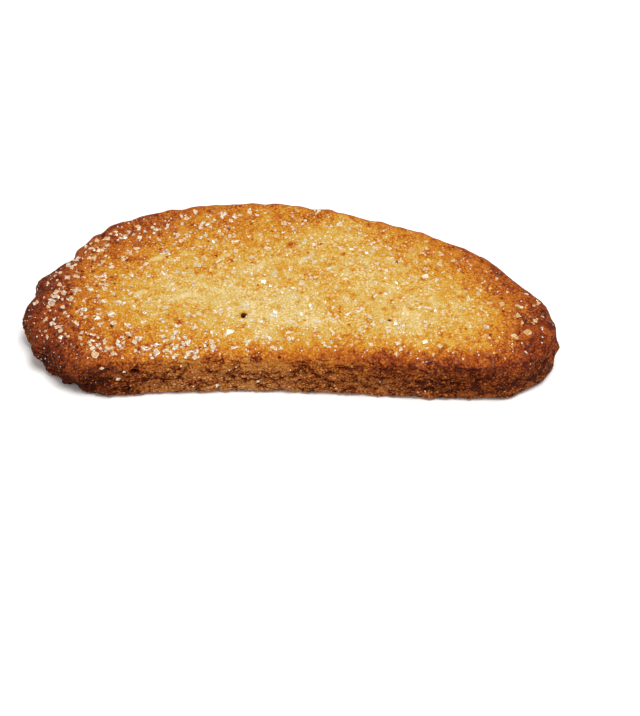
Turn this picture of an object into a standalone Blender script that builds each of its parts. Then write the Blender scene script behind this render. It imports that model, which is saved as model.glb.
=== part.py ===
"""A rusk: one slice of a sweet loaf, baked twice and sugared, lying on a cut face.

Seen from above it is a long D. Its straight side is the loaf's flat underside and its arched side
the domed crust. The upper cut face is a low pillow, strewn with coarse sugar that is fused to it.
Lengths in the constants and shape functions are millimetres; the mesh is scaled to metres.
"""

import math
import random

import bmesh
import bpy
import numpy as np
from mathutils import Euler, Matrix, Vector, noise
from mathutils.bvhtree import BVHTree

MM = 0.001
NAME = "rusk"

# The outline from above, +X along the slice and +Y from its straight side to its dome.
LEFT_TIP = (-58.4, -9.5)
RIGHT_TIP = (58.8, -16.5)
DOME_TOP = (-8.9, 25.0)
STRAIGHT_Y = -25.0
STRAIGHT_START_X = -38.4
STRAIGHT_END_X = 46.0
DOME_LEFT_POWERS = (2.3, 1.85)
DOME_RIGHT_POWERS = (1.6, 2.0)
CORNER_LEFT_POWERS = (1.85, 1.85)
CORNER_RIGHT_POWERS = (1.7, 1.8)
STRAIGHT_WAVE = 1.2  # how far the straight side wanders
STRAIGHT_WAVE_HALF = 50.0  # from its crest to its trough
STRAIGHT_WAVE_CREST_X = -9.0

# The spine, the ridge line inside the outline where the front and the dome halves meet.
SPINE_LEFT = (-40.0, -3.0)
SPINE_RIGHT = (37.0, -7.0)

# The section, from the base up.
THICKNESS = 11.6
BASE_RIM = 0.8  # width and height of the worn edge round the base
WALL_BULGE = 0.35
PILLOW = 0.45  # how far the upper face heaves up and down
PILLOW_SIZE = 17.0
CROWN = 0.5  # how much higher the middle is than the rim

# The rolled edge of the upper face: how wide it is, and how far it drops.
ROLL_FRONT = (2.4, 1.5)
ROLL_DOME = (1.5, 0.9)
ROLL_LEFT = (7.5, 4.2)
ROLL_RIGHT = (4.5, 3.0)
LEFT_END_X = (-38.0, -54.0)
RIGHT_END_X = (40.0, 55.0)

# Crags: bumps that stand out of the wall, largest at the left end.
CRAG_SIZE = 3.6
CRAG_END = 0.95
CRAG_DOME = 0.42
CRAG_FRONT = 0.28
CRAG_FADE = 12.0  # how far in from the rim they still show
SWELLS = (  # places where the slice stands out or draws in: middle, height, spread
    ((-56.3, 2.5, 7.0), 1.1, 3.4),
    ((-57.5, -2.8, 7.0), -0.7, 2.6),
    ((-51.0, 8.4, 8.0), -1.0, 2.4),
    ((-41.5, 17.3, 9.5), 0.8, 2.0),
    ((-57.8, -12.2, 6.0), -1.1, 1.8),
    ((57.0, -8.0, 8.0), 0.5, 4.0),
    ((59.0, -17.0, 7.5), 1.0, 1.5),
)
FISSURE_DEPTH = 0.55  # the long level cracks of the straight side
FISSURE_HEIGHTS = (3.4, 6.2)
FISSURE_WIDTH = 0.8

# Coarse sugar on the upper face. Each drift is its middle, its spread and how thickly it lies.
SUGAR_SEED = 29
SUGAR_GRAINS = 124
SUGAR_SIZE = (0.95, 1.6)
SUGAR_SPACING = 2.7
SUGAR_MARGIN = 1.6
SUGAR_PROUD = 0.14  # how far a grain's middle stands above the face, as a share of its size
SUGAR_THIN = 0.1
SUGAR_DRIFTS = (
    ((-50.0, -9.0), (8.0, 11.0), 1.0),
    ((-40.0, 8.0), (9.0, 9.0), 0.9),
    ((-36.0, -18.0), (14.0, 4.5), 1.0),
    ((-12.0, -19.0), (14.0, 4.0), 0.55),
    ((-20.0, 16.0), (14.0, 6.0), 0.55),
    ((8.0, 2.0), (18.0, 12.0), 0.2),
    ((45.0, -12.0), (8.0, 8.0), 0.35),
)

# How finely the slice is meshed.
COLUMNS = 168
BASE_ROWS = 2
WALL_ROWS = 6
ROLL_ROWS = 3
TOP_ROWS = 7
OUTLINE_STEPS = 240  # points on each quarter before they are spaced evenly
WELD = 0.01  # points closer than this are made one

CRUMB_COLOUR = (0.62, 0.33, 0.09, 1.0)
CRUMB_ROUGHNESS = 0.75


def ease(start, end, value):
    """0 at start, 1 at end, and a smooth way between."""
    t = min(max((value - start) / (end - start), 0.0), 1.0)
    return t * t * (3.0 - 2.0 * t)


def quarter(middle, reach, powers, turn):
    """A rounded quarter of an oval round middle; turn goes from 0, on the x side, to 1."""
    angle = turn * math.pi / 2.0
    x = middle[0] + reach[0] * math.cos(angle) ** (2.0 / powers[0])
    y = middle[1] + reach[1] * math.sin(angle) ** (2.0 / powers[1])
    return x, y


def straight_wave(x):
    """How far the straight side bows in or out at x."""
    phase = (x - STRAIGHT_WAVE_CREST_X) / STRAIGHT_WAVE_HALF * math.pi
    fade = ease(LEFT_TIP[0], STRAIGHT_START_X, x) * ease(RIGHT_TIP[0], STRAIGHT_END_X, x)
    return STRAIGHT_WAVE * math.cos(phase) * fade


def front_points():
    """The straight side with both its corners, from the left tip to the right one."""
    turns = [i / OUTLINE_STEPS for i in range(OUTLINE_STEPS + 1)]
    left_middle = (STRAIGHT_START_X, LEFT_TIP[1])
    left_reach = (LEFT_TIP[0] - STRAIGHT_START_X, STRAIGHT_Y - LEFT_TIP[1])
    right_middle = (STRAIGHT_END_X, RIGHT_TIP[1])
    right_reach = (RIGHT_TIP[0] - STRAIGHT_END_X, STRAIGHT_Y - RIGHT_TIP[1])
    points = [quarter(left_middle, left_reach, CORNER_LEFT_POWERS, t) for t in turns]
    length = STRAIGHT_END_X - STRAIGHT_START_X
    points += [(STRAIGHT_START_X + length * t, STRAIGHT_Y) for t in turns[1:-1]]
    points += [quarter(right_middle, right_reach, CORNER_RIGHT_POWERS, 1.0 - t) for t in turns]
    return [(x, y + straight_wave(x)) for x, y in points]


def dome_points():
    """The arched side, from the left tip to the right one."""
    turns = [i / OUTLINE_STEPS for i in range(OUTLINE_STEPS + 1)]
    left_middle = (DOME_TOP[0], LEFT_TIP[1])
    left_reach = (LEFT_TIP[0] - DOME_TOP[0], DOME_TOP[1] - LEFT_TIP[1])
    right_middle = (DOME_TOP[0], RIGHT_TIP[1])
    right_reach = (RIGHT_TIP[0] - DOME_TOP[0], DOME_TOP[1] - RIGHT_TIP[1])
    points = [quarter(left_middle, left_reach, DOME_LEFT_POWERS, t) for t in turns]
    points += [quarter(right_middle, right_reach, DOME_RIGHT_POWERS, 1.0 - t) for t in turns[:-1]]
    return points


def spaced_evenly(points, count):
    """The line through points as count + 1 points at equal distances."""
    line = np.array(points)
    steps = np.hypot(*np.diff(line, axis=0).T)
    along = np.concatenate([[0.0], np.cumsum(steps)])
    wanted = np.linspace(0.0, along[-1], count + 1)
    return np.stack([np.interp(wanted, along, line[:, k]) for k in (0, 1)], axis=1)


def outline_ring(columns):
    """The closed outline from the left tip, along the straight side and back over the dome."""
    front = spaced_evenly(front_points(), columns // 2)
    dome = spaced_evenly(dome_points(), columns // 2)
    return np.concatenate([front[:-1], dome[::-1]])


def outward(ring):
    """The unit normals of the outline, pointing away from the slice."""
    ahead = np.roll(ring[:-1], -2, axis=0) - np.roll(ring[:-1], 2, axis=0)
    normals = np.stack([ahead[:, 1], -ahead[:, 0]], axis=1)
    normals /= np.hypot(*normals.T)[:, None]
    return np.concatenate([normals, normals[:1]])


def spine_point(share):
    """The point of the spine that belongs to a share of the way round the outline."""
    along = 1.0 - abs(1.0 - 2.0 * share)
    return [a + (b - a) * along for a, b in zip(SPINE_LEFT, SPINE_RIGHT)]


def end_weights(x):
    """How much a place belongs to the left end, the right end and the long sides."""
    left = ease(*LEFT_END_X, x)
    right = ease(*RIGHT_END_X, x)
    return left, right, 1.0 - left - right


def rolled_edge(x, share):
    """The width and the drop of the rolled edge at a share of the way round."""
    left, right, side = end_weights(x)
    along = ROLL_FRONT if share < 0.5 else ROLL_DOME
    return [left * a + right * b + side * c for a, b, c in zip(ROLL_LEFT, ROLL_RIGHT, along)]


def face_height(x, y, inset):
    """The height of the upper face, a low pillow that heaves a little."""
    heave = noise.noise(Vector((x, y, 0.0)) / PILLOW_SIZE) * PILLOW
    return THICKNESS + heave + CROWN * ease(0.0, 16.0, inset)


def crags(x, y, z, share):
    """How far the wall stands out at a point: crags, swells, and level cracks on the straight side."""
    left, right, side = end_weights(x)
    along = CRAG_FRONT if share < 0.5 else CRAG_DOME
    size = CRAG_END * left + CRAG_DOME * right + along * side
    bump = noise.noise(Vector((x, y, z * 0.6)) / CRAG_SIZE) * size * 1.6
    for middle, height, spread in SWELLS:
        reach = (Vector((x, y, z)) - Vector(middle)).length / spread
        bump += height * math.exp(-reach * reach)
    if share < 0.5:
        for number, height in enumerate(FISSURE_HEIGHTS):
            level = height + 1.4 * noise.noise(Vector((x / 14.0, number * 7.3, 0.0)))
            strength = ease(-0.35, 0.25, noise.noise(Vector((x / 9.0, number * 5.1, 3.0))))
            gap = (z - level) / FISSURE_WIDTH
            bump -= FISSURE_DEPTH * strength * side * math.exp(-gap * gap)
    return bump


def stations():
    """The rows of the sheet that is rolled round the slice, from the base's spine to the top's."""
    rows = [("base", i / BASE_ROWS) for i in range(BASE_ROWS + 1)]
    rows += [("wall", i / WALL_ROWS) for i in range(WALL_ROWS + 1)]
    rows += [("roll", (i + 1) / ROLL_ROWS) for i in range(ROLL_ROWS)]
    rows += [("top", (i + 1) / TOP_ROWS) for i in range(TOP_ROWS)]
    return rows


def sheet_point(ring, normals, column, station):
    """Where a point of the rolled sheet lies, in millimetres."""
    kind, t = station
    share = column / (len(ring) - 1)
    rim = Vector(ring[column])
    normal = Vector(normals[column])
    spine = Vector(spine_point(share))
    across = (spine - rim).length
    width, drop = rolled_edge(rim.x, share)
    if kind == "base":
        place = spine.lerp(rim.lerp(spine, BASE_RIM / across), t)
        place += normal * crags(rim.x, rim.y, 0.0, share) * t
        return Vector((place.x, place.y, 0.0))
    if kind == "wall":
        top = face_height(rim.x, rim.y, 0.0) - drop
        z = BASE_RIM + (top - BASE_RIM) * t
        out = WALL_BULGE * math.sin(math.pi * t) + crags(rim.x, rim.y, z, share)
        place = rim + normal * out
        return Vector((place.x, place.y, z))
    angle = math.pi / 2.0 * (t if kind == "roll" else 1.0)
    inset = width * (1.0 - math.cos(angle))
    if kind == "top":
        inset += (across - width) * t
    place = rim.lerp(spine, inset / across)
    z = face_height(place.x, place.y, inset) - drop * (1.0 - math.sin(angle))
    place += normal * crags(rim.x, rim.y, z, share) * ease(CRAG_FADE, 0.0, inset)
    return Vector((place.x, place.y, z))


def slice_mesh(name):
    """The slice: a flat grid rolled round into a closed skin, with its seam and spines welded."""
    rows = stations()
    ring = outline_ring(COLUMNS)
    normals = outward(ring)
    bm = bmesh.new()
    bmesh.ops.create_grid(bm, x_segments=COLUMNS, y_segments=len(rows) - 1, size=1.0)
    for vert in bm.verts:
        column = round((vert.co.x + 1.0) / 2.0 * COLUMNS)
        row = round((vert.co.y + 1.0) / 2.0 * (len(rows) - 1))
        vert.co = sheet_point(ring, normals, column, rows[row])
    bmesh.ops.remove_doubles(bm, verts=bm.verts, dist=WELD)
    bmesh.ops.recalc_face_normals(bm, faces=bm.faces)
    bmesh.ops.triangulate(bm, faces=bm.faces)
    bmesh.ops.scale(bm, vec=(MM, MM, MM), verts=bm.verts)
    mesh = bpy.data.meshes.new(name)
    bm.to_mesh(mesh)
    bm.free()
    return mesh


def sugar_share(x, y):
    """How thickly sugar lies at a point of the upper face, from 0 to 1."""
    share = SUGAR_THIN
    for (mid_x, mid_y), (spread_x, spread_y), thick in SUGAR_DRIFTS:
        away = ((x - mid_x) / spread_x) ** 2 + ((y - mid_y) / spread_y) ** 2
        share += thick * math.exp(-away / 2.0)
    return min(share, 1.0)


def well_inside(ring, x, y, margin):
    """Whether a point lies inside the outline and at least margin from it."""
    if np.hypot(ring[:, 0] - x, ring[:, 1] - y).min() < margin:
        return False
    x0, y0 = ring[:-1, 0], ring[:-1, 1]
    x1, y1 = ring[1:, 0], ring[1:, 1]
    spans = (y0 > y) != (y1 > y)
    crossing = x0[spans] + (y - y0[spans]) / (y1[spans] - y0[spans]) * (x1[spans] - x0[spans])
    return np.count_nonzero(crossing > x) % 2 == 1


def sugar_places(seed, count, sizes, spacing):
    """Places, sizes and turns of sugar grains, drawn one by one where the sugar lies thickest."""
    draw = random.Random(seed)
    ring = outline_ring(COLUMNS)
    grains = []
    while len(grains) < count:
        x = draw.uniform(LEFT_TIP[0], RIGHT_TIP[0])
        y = draw.uniform(STRAIGHT_Y, DOME_TOP[1])
        if draw.random() > sugar_share(x, y) or not well_inside(ring, x, y, SUGAR_MARGIN):
            continue
        if any(math.hypot(x - g[0], y - g[1]) < spacing for g in grains):
            continue
        size = draw.uniform(*sizes)
        sides = [draw.uniform(0.75, 1.0) for _ in range(3)]
        turn = [draw.uniform(-math.pi, math.pi) for _ in range(3)]
        grains.append((x, y, size, sides, turn))
    return grains


def add_sugar(slice_object, collection):
    """Coarse sugar grains, each a little block sunk into the face under it."""
    dependencies = bpy.context.evaluated_depsgraph_get()
    face = BVHTree.FromObject(slice_object, dependencies)
    for number, grain in enumerate(sugar_places(SUGAR_SEED, SUGAR_GRAINS, SUGAR_SIZE, SUGAR_SPACING)):
        x, y, size, sides, turn = grain
        above = Vector((x * MM, y * MM, 2.0 * THICKNESS * MM))
        place = face.ray_cast(above, Vector((0.0, 0.0, -1.0)))[0]
        bm = bmesh.new()
        bmesh.ops.create_cube(bm, size=size * MM)
        bmesh.ops.scale(bm, vec=sides, verts=bm.verts)
        bmesh.ops.rotate(bm, cent=(0.0, 0.0, 0.0), matrix=Euler(turn).to_matrix(), verts=bm.verts)
        bmesh.ops.translate(bm, vec=place + Vector((0.0, 0.0, SUGAR_PROUD * size * MM)), verts=bm.verts)
        mesh = bpy.data.meshes.new(f"sugar_{number:03d}")
        bm.to_mesh(mesh)
        bm.free()
        collection.objects.link(bpy.data.objects.new(mesh.name, mesh))


def fuse(slice_object, collection):
    """Joins everything in the collection to the slice, as one solid.

    The manifold solver keeps the closed skin closed where grains meet the finely meshed face.
    """
    union = slice_object.modifiers.new("fuse sugar", "BOOLEAN")
    union.operation = "UNION"
    union.solver = "MANIFOLD"
    union.operand_type = "COLLECTION"
    union.collection = collection
    dependencies = bpy.context.evaluated_depsgraph_get()
    fused = bpy.data.meshes.new_from_object(slice_object.evaluated_get(dependencies))
    slice_object.modifiers.clear()
    slice_object.data = fused
    for grain in list(collection.objects):
        bpy.data.objects.remove(grain)
    bpy.data.collections.remove(collection)


def stand_on_origin(mesh):
    """Moves the mesh so that the origin is the middle of its base."""
    low = Vector([min(v.co[k] for v in mesh.vertices) for k in range(3)])
    high = Vector([max(v.co[k] for v in mesh.vertices) for k in range(3)])
    middle = (low + high) / 2.0
    mesh.transform(Matrix.Translation((-middle.x, -middle.y, -low.z)))


def baked_crumb():
    """Golden baked crumb."""
    material = bpy.data.materials.new("baked crumb")
    material.use_nodes = True
    shader = material.node_tree.nodes["Principled BSDF"]
    shader.inputs["Base Color"].default_value = CRUMB_COLOUR
    shader.inputs["Roughness"].default_value = CRUMB_ROUGHNESS
    shader.inputs["Metallic"].default_value = 0.0
    return material


def main():
    for leftover in list(bpy.data.objects):
        bpy.data.objects.remove(leftover)
    parts = bpy.data.collections.new(NAME)
    bpy.context.scene.collection.children.link(parts)
    toppings = bpy.data.collections.new("sugar")
    bpy.context.scene.collection.children.link(toppings)

    rusk = bpy.data.objects.new(NAME, slice_mesh(NAME))
    parts.objects.link(rusk)
    add_sugar(rusk, toppings)
    fuse(rusk, toppings)
    stand_on_origin(rusk.data)
    rusk.data.materials.clear()
    rusk.data.materials.append(baked_crumb())


main()
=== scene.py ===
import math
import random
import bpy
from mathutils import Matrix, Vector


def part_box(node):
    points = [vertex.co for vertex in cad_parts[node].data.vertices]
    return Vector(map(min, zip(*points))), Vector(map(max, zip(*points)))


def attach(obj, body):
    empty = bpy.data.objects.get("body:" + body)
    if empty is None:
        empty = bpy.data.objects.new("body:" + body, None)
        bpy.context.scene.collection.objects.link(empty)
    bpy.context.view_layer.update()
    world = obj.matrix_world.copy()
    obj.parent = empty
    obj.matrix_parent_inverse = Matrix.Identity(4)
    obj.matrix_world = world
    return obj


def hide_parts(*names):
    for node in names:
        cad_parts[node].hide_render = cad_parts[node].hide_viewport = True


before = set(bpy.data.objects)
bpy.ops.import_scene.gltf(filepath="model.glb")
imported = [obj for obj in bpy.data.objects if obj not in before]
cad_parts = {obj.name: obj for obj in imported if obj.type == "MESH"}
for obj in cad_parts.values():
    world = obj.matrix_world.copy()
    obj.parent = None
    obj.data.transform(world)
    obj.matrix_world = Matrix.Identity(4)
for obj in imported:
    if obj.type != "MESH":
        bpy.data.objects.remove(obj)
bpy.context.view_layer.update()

# The looks of a rusk: a slice of a sweet loaf, baked twice and strewn with coarse sugar.
# The slice lies on a cut face. Its straight side is the loaf's flat underside, its arched side the
# domed crust. Lengths in the constants and shape functions are millimetres, scaled to metres last.

from types import SimpleNamespace

import bmesh
import bpy
import numpy as np
from mathutils import Euler, Matrix, Vector, noise
from mathutils.bvhtree import BVHTree

MM = 0.001
BODY = "root"
NODE = "rusk"

# The outline from above, +X along the slice and +Y from its straight side to its dome.
LEFT_TIP = (-58.4, -9.5)
RIGHT_TIP = (58.8, -16.5)
DOME_TOP = (-8.9, 25.0)
STRAIGHT_Y = -25.0
STRAIGHT_START_X = -38.4
STRAIGHT_END_X = 46.0
DOME_LEFT_POWERS = (2.3, 1.85)
DOME_RIGHT_POWERS = (1.6, 2.0)
CORNER_LEFT_POWERS = (1.85, 1.85)
CORNER_RIGHT_POWERS = (1.7, 1.8)
STRAIGHT_WAVE = 1.2
STRAIGHT_WAVE_HALF = 50.0
STRAIGHT_WAVE_CREST_X = -9.0

# The spine, the ridge line inside the outline where the front and the dome halves meet.
SPINE_LEFT = (-40.0, -3.0)
SPINE_RIGHT = (37.0, -7.0)
SPINE_HOLD = (0.07, 0.93)  # nearer the tips than this, the columns of the sheet fan out from its ends

# The section, from the base up.
THICKNESS = 11.6
BASE_RIM = 0.8
WALL_BULGE = 0.35
LEFT_UNDERCUT = 1.0  # how far the wall of each end leans in towards the base
RIGHT_UNDERCUT = 0.2
PILLOW = 0.45
PILLOW_SIZE = 17.0
CROWN = 0.5

# The rolled edge of the upper face: how wide it is, and how far it drops.
ROLL_FRONT = (2.4, 1.5)
ROLL_DOME = (1.5, 0.9)
ROLL_LEFT = (7.5, 4.2)
ROLL_RIGHT = (4.5, 3.0)
LEFT_END_X = (-38.0, -54.0)
RIGHT_END_X = (40.0, 55.0)

# Crags: bumps that stand out of the wall, largest at the left end.
CRAG_SIZE = 3.6
CRAG_END = 0.95
CRAG_DOME = 0.42
CRAG_FRONT = 0.28
CRAG_FADE = 12.0
SWELLS = (
    ((-56.3, 2.5, 7.0), 1.1, 3.4),
    ((-57.5, -2.8, 7.0), -0.7, 2.6),
    ((-51.0, 8.4, 8.0), -1.0, 2.4),
    ((-41.5, 17.3, 9.5), 0.8, 2.0),
    ((-57.8, -12.2, 6.0), -1.1, 1.8),
    ((57.0, -8.0, 8.0), 0.5, 4.0),
    ((59.0, -17.0, 7.5), 1.0, 1.5),
)
FISSURE_DEPTH = 0.4
FISSURE_HEIGHTS = (3.4, 6.2)
FISSURE_WIDTH = 0.8

# Fine relief of the baked surfaces.
GRANULE_RELIEF = 0.1  # granules of the cut faces
GRANULE_SIZE = 0.9
PORE_DEPTH = 0.25  # small open pores between them
PORE_SIZE = 1.5
LUMP_RELIEF = 0.36  # the coarse, torn crumb of the straight side
LUMP_SIZE = (0.85, 0.65)  # along the slice and up the wall
CRACK_DEPTH = 0.65
CRACK_SIZE = (2.8, 1.25)
CRACK_WIDTH = 0.13  # as a share of the noise that draws the cracks
CALM_RIGHT = (0.6, 36.0, 50.0)  # how much smoother the crumb is at the right end
CRUST_RELIEF = 0.12  # the wrinkled skin of the dome
CRUST_WRINKLE = 1.7
PITS = (  # holes in the upper face: middle, radius, depth
    ((-9.7, -11.6), 0.75, 0.9),
    ((24.5, 5.1), 0.4, 0.6),
    ((22.2, -13.1), 0.4, 0.6),
    ((-22.9, 2.6), 0.5, 0.35),
    ((-17.8, -16.4), 0.45, 0.4),
    ((12.1, 7.1), 0.45, 0.35),
    ((20.4, -4.9), 0.4, 0.35),
    ((37.5, -16.7), 0.4, 0.35),
    ((31.5, -10.4), 0.45, 0.3),
)
FLAKES = (  # pale smooth flakes pressed into the face: middle, length, width, turn
    ((-29.4, 5.8), 4.2, 1.5, 0.5),
    ((-32.5, -4.9), 3.4, 1.5, 0.3),
    ((-21.8, -5.8), 5.6, 1.6, 0.15),
    ((3.1, 4.8), 1.9, 1.6, 0.0),
    ((-14.4, 6.5), 2.4, 1.3, 0.4),
)
STAINS = (  # places that browned more deeply: middle, radius, how much
    ((0.3, 10.3), 1.0, 0.4),
    ((-23.8, -14.0), 0.9, 0.3),
    ((9.3, -10.7), 1.2, 0.22),
    ((-19.5, 2.0), 1.2, 0.15),
    ((-20.5, 1.0), 0.5, 0.3),
    ((33.0, -17.5), 0.8, 0.2),
)

# How deeply the crumb is baked, from 0, pale, to 1, burnt.
FACE_BROWN = 0.24
FACE_EDGE_BROWN = ((0.3, 5.0), (0.31, 6.0))  # more along the straight side and the dome, and how far in
LEFT_BROWN = (0.38, -24.0, -57.0)  # more at the left end, from x to x
RIGHT_BROWN = (0.28, 34.0, 56.0)
WALL_BROWN = 0.32
WALL_LEFT_BROWN = (0.37, -23.0, -44.0)
WALL_RIGHT_BROWN = (0.35, 0.0, 43.0)
EDGE_RIGHT_BROWN = (0.27, -4.0, 28.0)  # along the edge of the face, above the straight side
SKIN_BROWN = 0.69
BASE_BROWN = 0.36
WALL_BLEND = 0.6  # how much the top of the straight side takes after the upper face

# Places of the wall that are burnt or hollow: middle, spread, how much browner, and how deep. In the
# hollow ones the browning is partly painted shade, and the first, low on the left, is partly painted
# shade at the foot of the wall.
BURNT = (
    ((-43.5, -22.0, 3.0), (8.0, 5.0, 2.8), 0.3, 0.0),
    ((-52.5, -15.5, 4.5), (3.0, 4.0, 3.0), 0.12, 0.0),
    ((-33.0, -24.6, 8.3), (0.9, 2.0, 0.6), 1.0, 1.1),
    ((55.9, -20.5, 7.4), (0.9, 2.0, 0.5), 0.6, 0.6),
    ((12.5, -25.5, 9.2), (2.4, 2.0, 0.3), 0.3, 0.5),
)

# Patches of the upper face that stayed paler or went browner: middle, spread, and how much.
BAKED_PATCHES = (
    ((-1.0, -11.5), (12.0, 6.0), -0.14),
    ((29.0, -9.0), (11.0, 7.0), -0.07),
    ((-19.0, -6.0), (7.0, 3.5), -0.02),
    ((11.0, 15.5), (5.0, 3.5), -0.08),
    ((-33.0, -18.0), (8.0, 5.0), 0.08),
    ((-14.0, -21.0), (8.0, 2.5), 0.06),
    ((-11.0, 18.5), (9.0, 4.0), 0.06),
    ((-24.0, -9.0), (9.0, 4.0), -0.06),
    ((-32.0, 14.0), (11.0, 6.0), 0.14),
    ((-45.0, 6.0), (4.0, 7.0), -0.07),
    ((39.0, 1.0), (5.0, 7.0), 0.1),
    ((-54.0, -4.0), (4.0, 9.0), 0.16),
    ((-38.0, -7.0), (4.0, 4.0), -0.05),
    ((13.0, -5.5), (3.5, 3.0), 0.11),
    ((8.0, 8.0), (3.5, 3.5), -0.06),
    ((2.0, 6.0), (2.5, 2.5), 0.09),
    ((-28.0, 15.5), (3.5, 4.0), 0.1),
    ((2.0, -14.0), (4.0, 2.0), -0.07),
    ((8.0, -17.5), (4.0, 2.0), 0.09),
    ((-22.0, -14.0), (3.0, 2.0), 0.07),
    ((32.0, -6.0), (3.0, 3.0), 0.06),
    ((2.0, 18.0), (4.0, 2.5), 0.09),
    ((-46.0, -9.0), (3.0, 3.0), -0.05),
    ((28.0, -13.0), (4.0, 2.5), -0.06),
    ((41.0, -19.5), (4.0, 2.2), 0.09),
    ((54.5, -14.0), (3.0, 4.0), 0.11),
    ((48.5, -6.5), (3.0, 2.5), 0.07),
    ((24.5, -23.0), (4.0, 1.5), -0.08),
    ((9.5, 2.0), (2.5, 2.5), -0.05),
    ((49.0, -22.0), (4.0, 2.0), -0.05),
)

# Coarse sugar on the upper face. Each drift is its middle, its spread and how thickly it lies.
SUGAR_SEED = 29
SUGAR_GRAINS = 124
SUGAR_SIZE = (0.95, 1.6)
SUGAR_SPACING = 2.7
SUGAR_MARGIN = 1.6
SUGAR_THIN = 0.1
SUGAR_DRIFTS = (
    ((-50.0, -9.0), (8.0, 11.0), 1.0),
    ((-40.0, 8.0), (9.0, 9.0), 0.9),
    ((-36.0, -18.0), (14.0, 4.5), 1.0),
    ((-12.0, -19.0), (14.0, 4.0), 0.55),
    ((-20.0, 16.0), (14.0, 6.0), 0.55),
    ((8.0, 2.0), (18.0, 12.0), 0.2),
    ((45.0, -12.0), (8.0, 8.0), 0.35),
)
RULE_COLUMNS = 168  # the outline that the sugar rule reads
SUGAR_CLUSTERS = (  # where grains stuck together: middle, reach, least and most grains
    (-48.5, 5.5, 2.2, (6, 8)),
    (-45.5, 10.0, 1.8, (5, 6)),
    (-42.5, -0.5, 1.8, (6, 8)),
    (-52.0, -6.5, 1.6, (4, 6)),
    (-45.0, -11.0, 2.0, (5, 7)),
    (-49.5, -15.5, 1.6, (2, 3)),
    (-41.0, -20.0, 2.0, (6, 8)),
    (-36.0, -21.8, 2.2, (6, 7)),
    (-26.0, -18.0, 2.0, (4, 6)),
    (-30.0, -23.3, 1.8, (5, 6)),
    (-24.8, -22.6, 1.8, (5, 7)),
    (-20.6, -22.4, 1.8, (5, 7)),
    (-24.0, -17.0, 2.0, (5, 7)),
    (-20.0, -13.5, 1.6, (3, 5)),
    (-24.0, 13.0, 1.8, (3, 5)),
    (-38.0, 14.0, 1.8, (3, 5)),
    (-41.0, 9.5, 1.6, (3, 5)),
    (-19.0, 18.0, 2.0, (5, 7)),
    (-28.0, 7.0, 1.4, (3, 4)),
    (9.5, -20.0, 2.2, (6, 8)),
    (24.5, -15.5, 1.6, (3, 4)),
    (-5.0, -19.0, 1.4, (2, 4)),
    (52.0, -8.5, 1.4, (2, 3)),
    (-34.0, -18.0, 2.0, (4, 5)),
    (-28.0, -20.5, 2.0, (5, 6)),
    (-22.5, -19.8, 1.8, (5, 6)),
    (-17.0, -21.5, 1.6, (3, 4)),
)
WALL_GRAINS = (  # single grains on the straight side: where along it, how high, how large
    (-36.5, 6.3, 1.3),
    (-35.2, 8.4, 0.7),
    (-39.8, 9.6, 0.8),
    (-15.5, 2.8, 0.8),
    (-6.5, 4.4, 0.7),
)
CRYSTAL_FLATNESS = 0.6
CRYSTAL_TILT = 0.12
CHIPS = 4
MIDDLE_X = (-16.0, 29.0)  # more sunken grains lie between these, and more glints right of the first
CRUST_GLINTS = (  # specks of sugar on the wall, painted bright as glints: seed, how many, where round it, how high, how large
    (47, 14, (0.96, 1.0), (6.0, 10.0), (0.1, 0.26)),
    (53, 30, (0.0, 0.1), (3.0, 10.0), (0.1, 0.26)),
    (59, 10, (0.1, 0.4), (2.0, 10.0), (0.2, 0.4)),
)
DROP_HEIGHT = 30.0
UNDER_BROWN = 0.6  # how brown the crumb looks through a grain, as a share
FAR_IN = 8.0  # an inset where the browning of the rim no longer counts
CLEARER_AWAY = 0.24  # how much clearer the grains are away from the drifts
CLEARER_ENDS = ((0.2, -32.0, -50.0), (0.35, 26.0, 42.0))  # and how much more so towards the two ends
CLEARER_SIDES = 0.35  # and how much clearer their sides are than their tops
CLEAREST = 0.9
GLINT_CLEARNESS = (-0.4, -0.2)  # below 0, so that the glints stay painted fully bright everywhere

# Colours from pale to burnt: of the cut faces, and of the torn crumb, which is redder.
FACE_COLOURS = (
    (0.0, "#d8c08a"),
    (0.12, "#c6ae74"),
    (0.25, "#c09b4b"),
    (0.38, "#bc8728"),
    (0.5, "#b6701f"),
    (0.62, "#a4581a"),
    (0.74, "#883d16"),
    (0.86, "#692912"),
    (1.0, "#42190d"),
)
TORN_COLOURS = (
    (0.0, "#dcb080"),
    (0.25, "#cc914e"),
    (0.42, "#ba7037"),
    (0.58, "#a35824"),
    (0.74, "#874016"),
    (0.86, "#6b2a0c"),
    (1.0, "#44180a"),
)
DUST_AND_SPARKLE_COLOUR = "#e2cda6"  # sugar dust that melted into the crumb, and painted sparkle
# char and painted shade inside the deepest pits and holes
CHAR_AND_SHADE_COLOUR = "#1a0c07"
SUGAR_COLOURS = ((0.35, "#d9cbb9"), (0.65, "#bdab97"))
# the painted highlight on the worn edges, chips and glints of the sugar
SUGAR_GLINT_COLOUR = "#f2e7d8"
PAPER_COLOUR = "#f6f5f3"

# The patterns of the crumb. The mesh carries how brown, crusty, torn and hollow each place is.
SKIN_VALUES = ("browning", "crust", "torn", "hollow")
CRUMB_NOISES = {  # how large a cloud of each is, its detail and its roughness
    "grit": (0.3, 1.0, 0.5),  # the real grit is about 0.1 mm, drawn coarser so that it shows
    "mottle": (2.4, 2.0, 0.6),
    "patches": (4.5, 2.0, 0.5),
}
WOBBLE_SIZE = 0.7
WOBBLE = (0.5, 0.5, 0.4)
GRANULE_CELL = 0.56
SPECK_CELL = 3.4
FLAKE_CELL = (0.8, 0.8, 0.6)
CRACK_CELL = (3.6, 3.6, 2.0)
CLOUD_SIZE = 0.6  # cloudy and frosted places of the sugar, the frost drawn coarser than it is
FROST_SIZE = 0.35

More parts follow.
